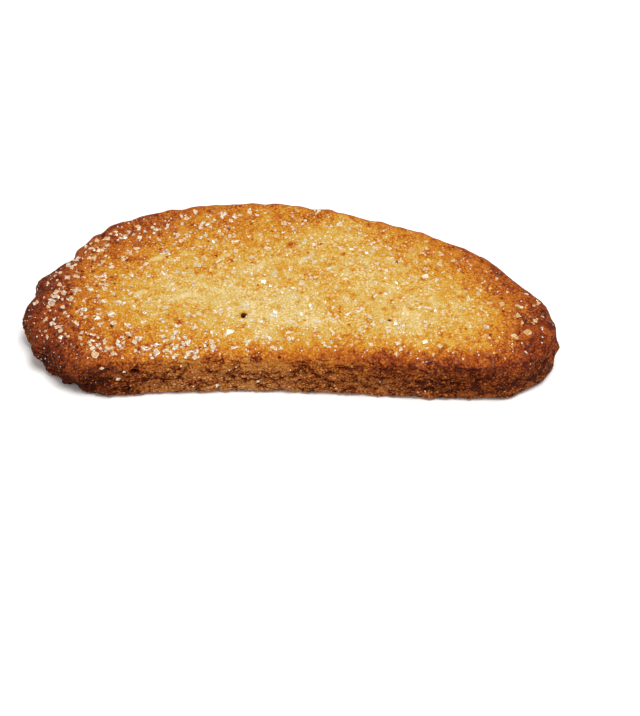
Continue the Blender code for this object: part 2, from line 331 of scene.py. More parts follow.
# What a low and a high value of each pattern add to how brown the crumb looks. The patches say how
# clearly the gaps show.
LIMITS = ("From Min", "From Max", "To Min", "To Max")
CRUMB_TONES = {
    # the gaps between granules and the flake rims darken partly with their own colour, partly with painted
    # shade
    "granules": (0.1, 0.7, -0.15, 0.2),
    "patches": (0.35, 0.65, 0.4, 1.1),
    "flake_rims": (0.2, 0.05, -0.04, 0.3),
    "flakes": (0.0, 1.0, -0.1, 0.08),
    "crumbs": (0.3, 0.7, -0.12, 0.12),
    "grit": (0.3, 0.7, -0.12, 0.12),
    "mottle": (0.3, 0.7, -0.11, 0.1),
    "specks": (0.14, 0.06, 0.0, 0.36),
}

# The relief of the material's patterns.
GRANULE_RISE = 0.16
FLAKE_RISE = 0.32
CRUMB_RISE = 0.4
CRACK_FALL = 0.6
GRIT_RISE = 0.13

# The camera and the studio, the camera's elevation in degrees and the light's power in watts.
CAMERA_AIM = (6.9, -13.0, 0.0)
CAMERA_ELEVATION = 48.0
CAMERA_DISTANCE = 378.0
CAMERA_LENS = 85.0
CAMERA_CLIP = 10.0
LIGHT_PLACE = (90.0, -120.0, 620.0)
LIGHT_SIZE = 240.0
LIGHT_POWER = 3.75
SURROUND = ((1.0, 0.99, 0.975, 1.0), 0.6)  # its linear colour and its strength
FLOOR_HALF = 1500.0

# How finely the slice is meshed.
COLUMNS = 680
BASE_ROWS = 10
WALL_ROWS = 54
ROLL_ROWS = 14
TOP_ROWS = 68
OUTLINE_TURNS = [step / 240.0 for step in range(241)]  # the steps of each rounded quarter
WELD = 0.001


def linear(hex_colour):
    """An sRGB hex colour as linear red, green, blue and alpha."""
    parts = [int(hex_colour[i:i + 2], 16) / 255.0 for i in (1, 3, 5)]
    return tuple(p / 12.92 if p <= 0.04045 else ((p + 0.055) / 1.055) ** 2.4 for p in parts) + (1.0,)


def scale(size):
    """The scale of a pattern whose cells are so many millimetres wide."""
    return 1.0 / (size * MM)


def node(tree, kind, values=(), links=(), stops=(), **settings):
    """Adds a node with its settings, input values and links, and the colours of a ramp."""
    made = tree.nodes.new(kind)
    for name, value in settings.items():
        setattr(made, name, value)
    for socket, value in dict(values).items():
        made.inputs[socket].default_value = value
    for socket, source in dict(links).items():
        tree.links.new(source, made.inputs[socket])
    if stops:
        # A new ramp has a first and a last stop of its own.
        for number in (0, -1):
            stop = made.color_ramp.elements[number]
            stop.position, stop.color = stops[number][0], linear(stops[number][1])
        for place, colour in stops[1:-1]:
            made.color_ramp.elements.new(place).color = linear(colour)
    return made


def ease(start, end, value):
    """0 at start, 1 at end, and a smooth way between."""
    t = min(max((value - start) / (end - start), 0.0), 1.0)
    return t * t * (3.0 - 2.0 * t)


def more_towards(x, amount, start, end):
    """An amount that grows from start to end along the slice."""
    return amount * ease(start, end, x)


def quarter(tip, top, powers, turn):
    """A point of a rounded quarter from a tip, where turn is 0, to a top, where it is 1."""
    angle = turn * math.pi / 2.0
    x = top[0] + (tip[0] - top[0]) * math.cos(angle) ** (2.0 / powers[0])
    y = tip[1] + (top[1] - tip[1]) * math.sin(angle) ** (2.0 / powers[1])
    return x, y


def straight_wave(x):
    """How far the straight side bows in or out at x."""
    phase = (x - STRAIGHT_WAVE_CREST_X) / STRAIGHT_WAVE_HALF * math.pi
    fade = ease(LEFT_TIP[0], STRAIGHT_START_X, x) * ease(RIGHT_TIP[0], STRAIGHT_END_X, x)
    return STRAIGHT_WAVE * math.cos(phase) * fade


def front_points():
    """The straight side with both its corners, from the left tip to the right one."""
    start, end = (STRAIGHT_START_X, STRAIGHT_Y), (STRAIGHT_END_X, STRAIGHT_Y)
    length = STRAIGHT_END_X - STRAIGHT_START_X
    points = [quarter(LEFT_TIP, start, CORNER_LEFT_POWERS, t) for t in OUTLINE_TURNS]
    points += [(STRAIGHT_START_X + length * t, STRAIGHT_Y) for t in OUTLINE_TURNS[1:-1]]
    points += [quarter(RIGHT_TIP, end, CORNER_RIGHT_POWERS, 1.0 - t) for t in OUTLINE_TURNS]
    return [(x, y + straight_wave(x)) for x, y in points]


def dome_points():
    """The arched side, from the left tip to the right one."""
    points = [quarter(LEFT_TIP, DOME_TOP, DOME_LEFT_POWERS, t) for t in OUTLINE_TURNS]
    return points + [
        quarter(RIGHT_TIP, DOME_TOP, DOME_RIGHT_POWERS, 1.0 - t) for t in OUTLINE_TURNS[:-1]]


def spaced_evenly(points, count):
    """The line through points as count + 1 points at equal distances."""
    line = np.array(points)
    steps = np.hypot(*np.diff(line, axis=0).T)
    along = np.concatenate([[0.0], np.cumsum(steps)])
    wanted = np.linspace(0.0, along[-1], count + 1)
    return np.stack([np.interp(wanted, along, line[:, k]) for k in (0, 1)], axis=1)


def outline_ring(columns):
    """The closed outline from the left tip, along the straight side and back over the dome."""
    front = spaced_evenly(front_points(), columns // 2)
    dome = spaced_evenly(dome_points(), columns // 2)
    return np.concatenate([front[:-1], dome[::-1]])


def outward(ring):
    """The unit normals of the outline, pointing away from the slice."""
    reach = max(2, len(ring) // 84)
    ahead = np.roll(ring[:-1], -reach, axis=0) - np.roll(ring[:-1], reach, axis=0)
    normals = np.stack([ahead[:, 1], -ahead[:, 0]], axis=1)
    normals /= np.hypot(*normals.T)[:, None]
    return np.concatenate([normals, normals[:1]])


def spine_point(share):
    """The point of the spine that belongs to a share of the way round the outline."""
    along = ease(*SPINE_HOLD, 1.0 - abs(1.0 - 2.0 * share))
    return [a + (b - a) * along for a, b in zip(SPINE_LEFT, SPINE_RIGHT)]


def end_weights(x):
    """How much a place belongs to the left end, the right end and the long sides."""
    left = ease(*LEFT_END_X, x)
    right = ease(*RIGHT_END_X, x)
    return left, right, 1.0 - left - right


def rolled_edge(x, share):
    """The width and the drop of the rolled edge at a share of the way round."""
    left, right, side = end_weights(x)
    along = ROLL_FRONT if share < 0.5 else ROLL_DOME
    return [left * a + right * b + side * c for a, b, c in zip(ROLL_LEFT, ROLL_RIGHT, along)]


def face_height(x, y, inset):
    """The height of the upper face, a low pillow that heaves a little."""
    heave = noise.noise(Vector((x, y, 0.0)) / PILLOW_SIZE) * PILLOW
    return THICKNESS + heave + CROWN * ease(0.0, 16.0, inset)


def crags(x, y, z, share):
    """How far the wall stands out at a point: crags, swells, and level cracks on the straight side."""
    left, right, side = end_weights(x)
    along = CRAG_FRONT if share < 0.5 else CRAG_DOME
    size = CRAG_END * left + CRAG_DOME * right + along * side
    bump = noise.noise(Vector((x, y, z * 0.6)) / CRAG_SIZE) * size * 1.6
    bump -= (LEFT_UNDERCUT * left + RIGHT_UNDERCUT * right) * ease(7.5, 0.5, z)
    for middle, height, spread in SWELLS:
        reach = (Vector((x, y, z)) - Vector(middle)).length / spread
        bump += height * math.exp(-reach * reach)
    if share < 0.5:
        for number, height in enumerate(FISSURE_HEIGHTS):
            level = height + 1.4 * noise.noise(Vector((x / 14.0, number * 7.3, 0.0)))
            strength = ease(-0.35, 0.25, noise.noise(Vector((x / 9.0, number * 5.1, 3.0))))
            gap = (z - level) / FISSURE_WIDTH
            bump -= FISSURE_DEPTH * strength * side * math.exp(-gap * gap)
    return bump


def stations():
    """The rows of the sheet that is rolled round the slice, from the base's spine to the top's."""
    rows = [("base", i / BASE_ROWS) for i in range(BASE_ROWS + 1)]
    rows += [("wall", i / WALL_ROWS) for i in range(WALL_ROWS + 1)]
    rows += [("roll", (i + 1) / ROLL_ROWS) for i in range(ROLL_ROWS)]
    rows += [("top", (i + 1) / TOP_ROWS) for i in range(TOP_ROWS)]
    return rows


def spot_depth(x, y):
    """How deep the pits are at a point of the upper face, and how much of a pit it lies in."""
    depth, share = 0.0, 0.0
    for (mid_x, mid_y), radius, deep in PITS:
        reach = math.hypot(x - mid_x, y - mid_y) / radius
        if reach < 2.5:
            ragged = reach * (1.0 + 0.35 * noise.noise(Vector((x, y, 9.0)) * 2.2))
            here = math.exp(-ragged ** 4)
            depth += deep * here
            share = max(share, deep * here / 0.45)
    return depth, share


def flake_share(x, y):
    """How much a point of the upper face lies on a pale flake."""
    share = 0.0
    for (mid_x, mid_y), length, width, turn in FLAKES:
        dx, dy = x - mid_x, y - mid_y
        if abs(dx) + abs(dy) > 6.0:
            continue
        along = (dx * math.cos(turn) + dy * math.sin(turn)) / (length / 2.0)
        across = (dy * math.cos(turn) - dx * math.sin(turn)) / (width / 2.0)
        ragged = math.hypot(along, across) + 0.35 * noise.noise(Vector((x, y, 4.0)) * 1.3)
        share = max(share, ease(1.15, 0.75, ragged))
    return share


def granular_relief(place):
    """The relief of a cut face at a point, outwards in millimetres, and how much of a pore it lies in."""
    granules = noise.noise(place / GRANULE_SIZE) + 0.5 * noise.noise(place / (GRANULE_SIZE * 2.3))
    pore = ease(0.32, 0.62, noise.noise(place / PORE_SIZE + Vector((0.0, 0.0, 31.0))))
    return GRANULE_RELIEF * granules - PORE_DEPTH * pore, 0.45 * pore


def torn_relief(place):
    """The relief of the torn crumb of the straight side, and how much of a crack a point lies in."""
    along, up = LUMP_SIZE
    lumps = noise.noise(Vector((place.x / along, place.y / along, place.z / up)))
    lumps += 0.5 * noise.noise(Vector((place.x / along, place.y / along, place.z / up)) * 2.1)
    along, up = CRACK_SIZE
    level = abs(noise.noise(Vector((place.x / along, place.y / along, place.z / up + 17.0))))
    open_here = ease(-0.15, 0.25, noise.noise(place / 3.4))
    rough = 1.0 - more_towards(place.x, *CALM_RIGHT)
    crack = max(0.0, 1.0 - level / CRACK_WIDTH) * open_here * rough
    return LUMP_RELIEF * lumps * rough - CRACK_DEPTH * crack, crack


def skin_relief(place):
    """The relief of the dome's wrinkled skin at a point."""
    wrinkles = noise.noise(place / CRUST_WRINKLE) - 0.5 * abs(noise.noise(place / (CRUST_WRINKLE * 1.8)))
    return CRUST_RELIEF * wrinkles


def face_browning(x, y, inset, share):
    """How deeply a place of the upper face is baked, from 0, pale crumb, to 1, burnt."""
    more, reach = FACE_EDGE_BROWN[0] if share < 0.5 else FACE_EDGE_BROWN[1]
    brown = FACE_BROWN + more_towards(x, *LEFT_BROWN) + more_towards(x, *RIGHT_BROWN)
    brown += more * math.exp(-inset / reach) * (1.0 - 0.5 * ease(*LEFT_END_X, x))
    if share < 0.5:
        more = more_towards(x, *EDGE_RIGHT_BROWN) * (1.0 - ease(*RIGHT_END_X, x))
        brown += more * math.exp(-(inset / 4.5) ** 4)
    for (mid_x, mid_y), (spread_x, spread_y), amount in BAKED_PATCHES:
        away = ((x - mid_x) / spread_x) ** 2 + ((y - mid_y) / spread_y) ** 2
        brown += amount * math.exp(-away / 2.0)
    for (mid_x, mid_y), radius, amount in STAINS:
        away = math.hypot(x - mid_x, y - mid_y) / radius
        brown += amount * math.exp(-away * away)
    return brown


def burnt_share(x, y, z):
    """How much browner the burnt places make a point, and how deep it is hollowed out."""
    more, depth = 0.0, 0.0
    for middle, spread, amount, deep in BURNT:
        away = sum(((a - b) / c) ** 2 for a, b, c in zip((x, y, z), middle, spread))
        if away < 9.0:
            here = math.exp(-away * away) if deep else math.exp(-away)
            more += amount * here
            depth += deep * here
    return more, depth


def browning(x, y, z, inset, share, kind):
    """How deeply any place of the skin is baked, with painted shade at the foot of the straight side."""
    drift = 0.09 * noise.noise(Vector((x, y, z)) / 8.0) + 0.06 * noise.noise(Vector((x, y, z)) / 3.2)
    if kind in ("top", "roll"):
        return face_browning(x, y, inset, share) + drift
    if kind == "base":
        ends = more_towards(x, *LEFT_BROWN) + more_towards(x, *RIGHT_BROWN)
        return BASE_BROWN + 0.7 * ends + 0.36 * math.exp(-inset / 4.0) + drift
    if share < 0.5:
        sides = more_towards(x, *WALL_LEFT_BROWN) + more_towards(x, *WALL_RIGHT_BROWN)
        # painted shade: the very foot of the straight side, where it meets the ground, is darker, and the
        # wall just above it a little paler
        level = 0.1 * ease(1.2, 0.0, z) - 0.07 * ease(6.0, 2.0, z)
        return WALL_BROWN + sides + level + burnt_share(x, y, z)[0] + 0.5 * drift
    return SKIN_BROWN + 0.12 * ease(9.0, 3.0, z) + 0.7 * drift


def skin_share(share):
    """How much the wall is the dome's smooth skin, and not torn crumb, at a share of the way round."""
    return ease(0.0, 0.07, min(share - 0.5, 1.0 - share))


def wall_relief(place, skin):
    """The relief of the wall, torn crumb or smooth skin, and how hollow a point is."""
    relief, crack = torn_relief(place)
    return relief * (1.0 - skin) + skin_relief(place) * skin, 0.45 * crack * (1.0 - skin)


def base_point(t, share, rim, normal, spine):
    """A point of the flat base, from the spine, where t is 0, to the wall."""
    across = (spine - rim).length
    place = spine.lerp(rim.lerp(spine, BASE_RIM / across), t)
    ragged = torn_relief(rim.to_3d())[0] * (1.0 - skin_share(share)) * ease(0.9, 1.0, t)
    place += normal * (crags(rim.x, rim.y, 0.0, share) * ease(0.3, 1.0, t) + ragged)
    place = place.to_3d()
    brown = browning(*place, (1.0 - t) * across, share, "base")
    return place, brown, 0.0, 0.0, granular_relief(place)[1]


def wall_point(t, share, rim, normal):
    """A point of the wall, from the base, where t is 0, to the rolled edge."""
    skin = skin_share(share)
    top = face_height(rim.x, rim.y, 0.0) - rolled_edge(rim.x, share)[1]
    z = BASE_RIM + (top - BASE_RIM) * t
    place = rim + normal * (WALL_BULGE * math.sin(math.pi * t) + crags(rim.x, rim.y, z, share))
    relief, crack = wall_relief(Vector((*place, z)), skin)
    depth = burnt_share(*place, z)[1]
    place += normal * (relief - depth)
    brown = browning(*place, z, 0.0, share, "wall")
    blend = WALL_BLEND * (1.0 - skin) * ease(0.55, 1.0, t + 0.2 * relief)
    brown += (face_browning(*place, 0.0, share) - brown) * blend
    return Vector((*place, z)), brown, skin, (1.0 - skin) * (1.0 - blend), max(crack, depth)


def upper_point(kind, t, share, rim, normal, spine):
    """A point of the rolled edge, or of the face inside it, from the wall to the spine."""
    skin = skin_share(share)
    across = (spine - rim).length
    width, drop = rolled_edge(rim.x, share)
    angle = math.pi / 2.0 * (t if kind == "roll" else 1.0)
    inset = width * (1.0 - math.cos(angle))
    if kind == "top":
        inset += (across - width) * t
    place = rim.lerp(spine, inset / across)
    z = face_height(*place, inset) - drop * (1.0 - math.sin(angle))
    place += normal * crags(rim.x, rim.y, z, share) * ease(CRAG_FADE, 0.0, inset)
    here = Vector((*place, z))
    depth, pit = spot_depth(*place)
    flake = flake_share(*place)
    relief, pore = granular_relief(here)
    relief = relief * (1.0 - 0.8 * flake) + 0.12 * flake
    hollow = max(pit, pore * (1.0 - flake))
    brown = browning(*here, inset, share, kind) * (1.0 - 0.6 * flake)
    crust, torn = 0.6 * flake, 0.0
    if kind == "roll":
        frayed = inset + 0.5 * t * noise.noise(here / 1.6)
        low = ease(0.75 + 0.35 * skin, 0.2 * skin, frayed)
        meet = (1.0 - WALL_BLEND * (1.0 - skin)) * low
        wall, crack = wall_relief(here, skin)
        relief += (wall - relief) * low
        hollow += (crack - hollow) * low
        brown += (browning(*here, 0.0, share, "wall") - brown) * meet
        crust, torn = skin * low, (1.0 - skin) * meet
    place += normal * relief * math.cos(angle)
    return Vector((*place, z + relief * math.sin(angle) - depth)), brown, crust, torn, hollow


def sheet_point(ring, normals, column, station):
    """Where a point of the rolled sheet lies, and how brown, crusty, torn and hollow it is."""
    kind, t = station
    share = column / (len(ring) - 1)
    rim, normal, spine = (Vector(v) for v in (ring[column], normals[column], spine_point(share)))
    if kind == "base":
        return base_point(t, share, rim, normal, spine)
    if kind == "wall":
        return wall_point(t, share, rim, normal)
    return upper_point(kind, t, share, rim, normal, spine)


def finished(bm, name):
    """The mesh that a bmesh becomes."""
    mesh = bpy.data.meshes.new(name)
    bm.to_mesh(mesh)
    bm.free()
    return mesh


def add_object(name, data):
    """Puts an object in the scene."""
    made = bpy.data.objects.new(name, data)
    bpy.context.scene.collection.objects.link(made)
    return made


def slice_mesh(name):
    """The slice: a flat grid rolled round into a closed skin, with its seam and spines welded."""
    rows = stations()
    ring = outline_ring(COLUMNS)
    normals = outward(ring)
    bm = bmesh.new()
    layers = [bm.verts.layers.float.new(value) for value in SKIN_VALUES]
    bmesh.ops.create_grid(bm, x_segments=COLUMNS, y_segments=len(rows) - 1, size=1.0)
    for vert in bm.verts:
        column = round((vert.co.x + 1.0) / 2.0 * COLUMNS)
        row = round((vert.co.y + 1.0) / 2.0 * (len(rows) - 1))
        vert.co, *values = sheet_point(ring, normals, column, rows[row])
        for layer, value in zip(layers, values):
            vert[layer] = value
    bmesh.ops.remove_doubles(bm, verts=bm.verts, dist=WELD)
    bmesh.ops.recalc_face_normals(bm, faces=bm.faces)
    bmesh.ops.scale(bm, vec=(MM, MM, MM), verts=bm.verts)
    mesh = finished(bm, name)
    mesh.shade_smooth()
    return mesh


def sugar_share(x, y):
    """How thickly sugar lies at a point of the upper face, from 0 to 1."""
    share = SUGAR_THIN
    for (mid_x, mid_y), (spread_x, spread_y), thick in SUGAR_DRIFTS:
        away = ((x - mid_x) / spread_x) ** 2 + ((y - mid_y) / spread_y) ** 2
        share += thick * math.exp(-away / 2.0)
    return min(share, 1.0)


def well_inside(ring, x, y, margin):
    """Whether a point lies inside the outline and at least margin from it."""
    if np.hypot(ring[:, 0] - x, ring[:, 1] - y).min() < margin:
        return False
    x0, y0 = ring[:-1, 0], ring[:-1, 1]
    x1, y1 = ring[1:, 0], ring[1:, 1]
    spans = (y0 > y) != (y1 > y)
    crossing = x0[spans] + (y - y0[spans]) / (y1[spans] - y0[spans]) * (x1[spans] - x0[spans])
    return np.count_nonzero(crossing > x) % 2 == 1


def grain_form(draw, least):
    """The sides of a grain, as shares of its size, and its turn."""
    sides = [draw.uniform(least, 1.0) for _ in range(3)]
    return sides, [draw.uniform(-math.pi, math.pi) for _ in range(3)]


def sugar_places(seed, count, sizes, spacing, evenness=0.0, margin=SUGAR_MARGIN):
    """Places, sizes and turns of sugar grains, drawn one by one where the sugar lies thickest."""
    draw = random.Random(seed)
    ring = outline_ring(RULE_COLUMNS)
    grains = []
    while len(grains) < count:
        x = draw.uniform(LEFT_TIP[0], RIGHT_TIP[0])
        y = draw.uniform(STRAIGHT_Y, DOME_TOP[1])
        thick = max(sugar_share(x, y), evenness)
        if draw.random() > thick or not well_inside(ring, x, y, margin):
            continue
        if any(math.hypot(x - g[0], y - g[1]) < spacing for g in grains):
            continue
        grains.append((x, y, draw.uniform(*sizes), *grain_form(draw, 0.75)))
    return grains


def cluster_places(seed, clusters, sizes):
    """Grains in clusters, each given by its middle, its reach, and its least and most grains."""
    draw = random.Random(seed)
    ring = outline_ring(RULE_COLUMNS)
    grains = []
    for x, y, reach, count in clusters:
        for _ in range(draw.randint(*count)):
            away, angle = reach * math.sqrt(draw.random()), draw.uniform(0.0, 2.0 * math.pi)
            form = draw.uniform(*sizes), *grain_form(draw, 0.6)
            place = x + away * math.cos(angle), y + away * math.sin(angle)
            if well_inside(ring, *place, SUGAR_MARGIN / 3.0):
                grains.append((*place, *form))
    return grains


def dropped(grains):
    """Grains that fall on the upper face: each one's start, way, size, sides and turn."""
    down = Vector((0.0, 0.0, -1.0))
    return [(Vector((x, y, DROP_HEIGHT)), down, *rest) for x, y, *rest in grains]


def blown(seed, count, along, heights, sizes):
    """Grains that stuck to the wall, between two shares of the way round it and two heights."""
    draw = random.Random(seed)
    ring = outline_ring(COLUMNS)
    normals = outward(ring)
    grains = []
    for _ in range(count):
        column = round(draw.uniform(*along) * COLUMNS)
        way = Vector((*normals[column], 0.0))
        start = Vector((*ring[column], draw.uniform(*heights))) + way * 10.0
        sides, turn = grain_form(draw, 0.6)
        grains.append((start, -way, draw.uniform(*sizes), sides, turn))
    return grains


def on_wall(grains):
    """Single grains on the straight side, as places along it, heights and sizes."""
    start_y, ahead, sides = STRAIGHT_Y - 15.0, Vector((0.0, 1.0, 0.0)), (1.0, 0.9, 0.8)
    return [(Vector((x, start_y, z)), ahead, size, sides, (0.0, 0.0, x)) for x, z, size in grains]


def crystal_shapes(count, seed, worn, brightness=0.0, chipped=0.0):
    """Sugar crystals of unit size: little blocks with chipped corners.

    The faces that worn edges or chips leave are marked, so that they can be painted bright as a
    highlight where they would catch the light. The smallest crystals have no worn edges, and are painted
    bright all over as glints.
    """
    draw = random.Random(seed)
    shapes = []
    for number in range(count):
        bm = bmesh.new()
        edge = bm.faces.layers.float.new("edge")
        bmesh.ops.create_cube(bm, size=1.0)
        # every face painted this bright, as a glint on the smallest crystals
        for face in bm.faces:
            face[edge] = brightness
        for _ in range(CHIPS):
            chip = Vector([draw.uniform(-1.0, 1.0) for _ in range(3)]).normalized()
            cut = bmesh.ops.bisect_plane(
                bm, geom=bm.verts[:] + bm.edges[:] + bm.faces[:], plane_co=chip * draw.uniform(0.3, 0.5),
                plane_no=chip, clear_outer=True)
            rim = [e for e in cut["geom_cut"] if isinstance(e, bmesh.types.BMEdge)]
            if len(rim) > 2:
                # chip faces painted bright as a highlight
                for face in bmesh.ops.contextual_create(bm, geom=rim)["faces"]:
                    face[edge] = chipped
        if worn:
            bevelled = bmesh.ops.bevel(
                bm, geom=bm.edges[:], offset=draw.uniform(0.07, 0.13), affect="EDGES", segments=1,
                profile=0.5, material=-1)
            # worn edges painted fully bright as a highlight
            for face in bevelled["faces"]:
                face[edge] = 1.0
        bmesh.ops.triangulate(bm, faces=bm.faces)
        bmesh.ops.recalc_face_normals(bm, faces=bm.faces)
        shapes.append(finished(bm, f"crystal_{number}"))
    return shapes


def strewn(name, kinds, face, seed):
    """One mesh of many grains, each lying on the slice and sunk into it.

    A kind is its shapes, its grains, how far its tops stand proud, at least and at most, and how clear
    it is, at least and at most. Where little sugar lies, the grains have sunk deeper and are clearer.
    Each face of a grain carries how brown the crumb under it is and how clear it is, more so at the
    grain's sides.
    """
    draw = random.Random(seed)
    bm = bmesh.new()
    browns, clarities = [], []
    for shapes, grains, proud, clearness in kinds:
        for number, (start, way, size, sides, turn) in enumerate(grains):
            hit, lean, _, _ = face.ray_cast(start * MM, way)
            if hit is None or lean.dot(way) > -0.15:
                continue
            x, y = hit.x / MM, hit.y / MM
            thick = sugar_share(x, y)
            top = draw.uniform(*proud) * (0.65 + 0.35 * thick)
            long, wide, high = sorted(sides, reverse=True)
            high *= CRYSTAL_FLATNESS
            middle = hit + lean * (top - high * size / 2.0) * MM
            stretch = Matrix.Diagonal([long * size * MM, wide * size * MM, high * size * MM, 1.0])
            tilt = Euler((turn[0] * CRYSTAL_TILT, turn[1] * CRYSTAL_TILT, turn[2])).to_quaternion()
            turned = (lean.to_track_quat("Z", "Y") @ tilt).to_matrix().to_4x4()
            shape = shapes[number % len(shapes)]
            grain = shape.copy()
            grain.transform(Matrix.Translation(middle) @ turned @ stretch)
            bm.from_mesh(grain)
            clear = draw.uniform(*clearness) + CLEARER_AWAY * (1.0 - thick)
            clear += sum(more_towards(x, *end) for end in CLEARER_ENDS)
            under = UNDER_BROWN * face_browning(x, y, FAR_IN, 0.5)
            for polygon in grain.polygons:
                aside = 1.0 - max(polygon.normal.dot(lean), 0.0)
                browns.append(under)
                clarities.append(min(max(clear + CLEARER_SIDES * aside, 0.0), CLEAREST))
            bpy.data.meshes.remove(grain)
    mesh = finished(bm, name)
    mesh.attributes.new("browning", "FLOAT", "FACE").data.foreach_set("value", browns)
    mesh.attributes.new("clarity", "FLOAT", "FACE").data.foreach_set("value", clarities)
    return mesh


def add_piece(name, mesh, material):
    """Puts a finished mesh in the scene as a piece of the rusk."""
    mesh.materials.clear()
    mesh.materials.append(material)
    piece = add_object(name, mesh)
    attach(piece, BODY)
    return piece


def new_material(name):
    """A new material, its node tree and its main shader."""
    material = bpy.data.materials.new(name)
    material.use_nodes = True
    return material, material.node_tree, material.node_tree.nodes["Principled BSDF"]


def crumb_values(tree):
    """What colours and shapes the crumb: the values that the mesh carries, and the patterns."""
    made = {
        name: node(tree, "ShaderNodeAttribute", attribute_name=name).outputs["Fac"] for name in SKIN_VALUES}
    where = node(tree, "ShaderNodeTexCoord").outputs["Object"]
    for name, (size, detail, roughness) in CRUMB_NOISES.items():
        made[name] = node(
            tree, "ShaderNodeTexNoise", {"Scale": scale(size), "Detail": detail, "Roughness": roughness},
            {"Vector": where}).outputs["Fac"]
    # A ragged version of the place, so that no granule is a neat cell.
    wobble = node(
        tree, "ShaderNodeTexNoise", {"Scale": scale(WOBBLE_SIZE), "Detail": 2.0},
        {"Vector": where}).outputs["Color"]
    ragged = node(
        tree, "ShaderNodeVectorMath", {1: [reach * MM for reach in WOBBLE]}, {0: wobble, 2: where},
        operation="MULTIPLY_ADD").outputs[0]
    made["specks"] = node(
        tree, "ShaderNodeTexVoronoi", {"Scale": scale(SPECK_CELL)}, {"Vector": ragged},
        feature="F1").outputs["Distance"]
    granules = node(
        tree, "ShaderNodeTexVoronoi", {"Scale": scale(GRANULE_CELL)}, {"Vector": ragged}, feature="F1")
    made["granules"] = granules.outputs["Distance"]
    made["each_granule"] = granules.outputs["Color"]
    flat = node(
        tree, "ShaderNodeVectorMath", {1: [scale(size) for size in FLAKE_CELL]}, {0: ragged},
        operation="MULTIPLY").outputs[0]
    made["flakes"] = node(
        tree, "ShaderNodeTexVoronoi", {"Scale": 1.0}, {"Vector": flat}, feature="F1").outputs["Color"]
    made["flake_rims"] = node(
        tree, "ShaderNodeTexVoronoi", {"Scale": 1.0}, {"Vector": flat},
        feature="DISTANCE_TO_EDGE").outputs["Distance"]
    made["crumbs"] = node(
        tree, "ShaderNodeTexNoise", {"Scale": 1.1, "Detail": 3.0, "Roughness": 0.7},
        {"Vector": flat}).outputs["Fac"]
    long_flat = node(
        tree, "ShaderNodeVectorMath", {1: [scale(size) for size in CRACK_CELL]}, {0: ragged},
        operation="MULTIPLY").outputs[0]
    made["split"] = node(
        tree, "ShaderNodeTexNoise", {"Scale": 1.0, "Detail": 2.0, "Roughness": 0.6},
        {"Vector": long_flat}).outputs["Fac"]
    # The dome's skin is smoother than the crumb.
    made["rough"] = node(
        tree, "ShaderNodeMapRange", {"To Min": 1.0, "To Max": 0.3},
        {"Value": made["crust"]}).outputs["Result"]
    return SimpleNamespace(**made)


def crumb_cracks(tree, crumb):
    """Thin level cracks of the torn crumb, open in some places: how much browner they make it, partly
    as painted shade in them.
    """
    aside = node(tree, "ShaderNodeMath", {1: 0.5}, {0: crumb.split}, operation="SUBTRACT").outputs[0]
    aside = node(tree, "ShaderNodeMath", links={0: aside}, operation="ABSOLUTE").outputs[0]
    crack = node(
        tree, "ShaderNodeMapRange", zip(LIMITS, (0.045, 0.02, 0.0, 1.0)), {"Value": aside}).outputs["Result"]
    here = node(
        tree, "ShaderNodeMapRange", zip(LIMITS, (0.46, 0.56, 0.0, 0.45)),
        {"Value": crumb.mottle}).outputs["Result"]
    return node(tree, "ShaderNodeMath", links={0: crack, 1: here}, operation="MULTIPLY").outputs[0]


def crumb_browning(tree, crumb, cracks):
    """How brown the crumb looks: as deep as it is baked, with darker gaps, cracks, clouds and specks.

    The darker gaps, cracks and hollows are partly painted shade.
    """
    tones = SimpleNamespace(**{
        name: node(
            tree, "ShaderNodeMapRange", zip(LIMITS, tone), {"Value": getattr(crumb, name)}).outputs["Result"]
        for name, tone in CRUMB_TONES.items()})
    gaps, rims = (
        node(tree, "ShaderNodeMath", links={0: tone, 1: tones.patches}, operation="MULTIPLY").outputs[0]
        for tone in (tones.granules, tones.flake_rims))
    torn = node(tree, "ShaderNodeMath", {1: 1.3}, {0: gaps, 2: rims}, operation="MULTIPLY_ADD").outputs[0]
    for more in (tones.flakes, tones.crumbs, cracks):
        torn = node(tree, "ShaderNodeMath", links={0: torn, 1: more}).outputs[0]
    pattern = node(tree, "ShaderNodeMix", links={0: crumb.torn, 2: gaps, 3: torn}).outputs[0]
    pattern = node(tree, "ShaderNodeMath", links={0: pattern, 1: tones.grit}).outputs[0]
    # The patterns are calmer where the crumb is baked deeply.
    calmer = node(
        tree, "ShaderNodeMapRange", zip(LIMITS, (0.5, 0.9, 1.0, 0.7)),
        {"Value": crumb.browning}).outputs["Result"]
    for less in (crumb.rough, calmer):
        pattern = node(tree, "ShaderNodeMath", links={0: pattern, 1: less}, operation="MULTIPLY").outputs[0]
    clouds = node(
        tree, "ShaderNodeMath", links={0: tones.mottle, 1: crumb.rough}, operation="MULTIPLY").outputs[0]
    # pits, pores, cracks and holes are darker: painted shade inside them
    total = node(
        tree, "ShaderNodeMath", {1: 0.35}, {0: crumb.hollow, 2: crumb.browning},
        operation="MULTIPLY_ADD").outputs[0]
    for more in (pattern, clouds, tones.specks):
        total = node(tree, "ShaderNodeMath", links={0: total, 1: more}).outputs[0]
    return total


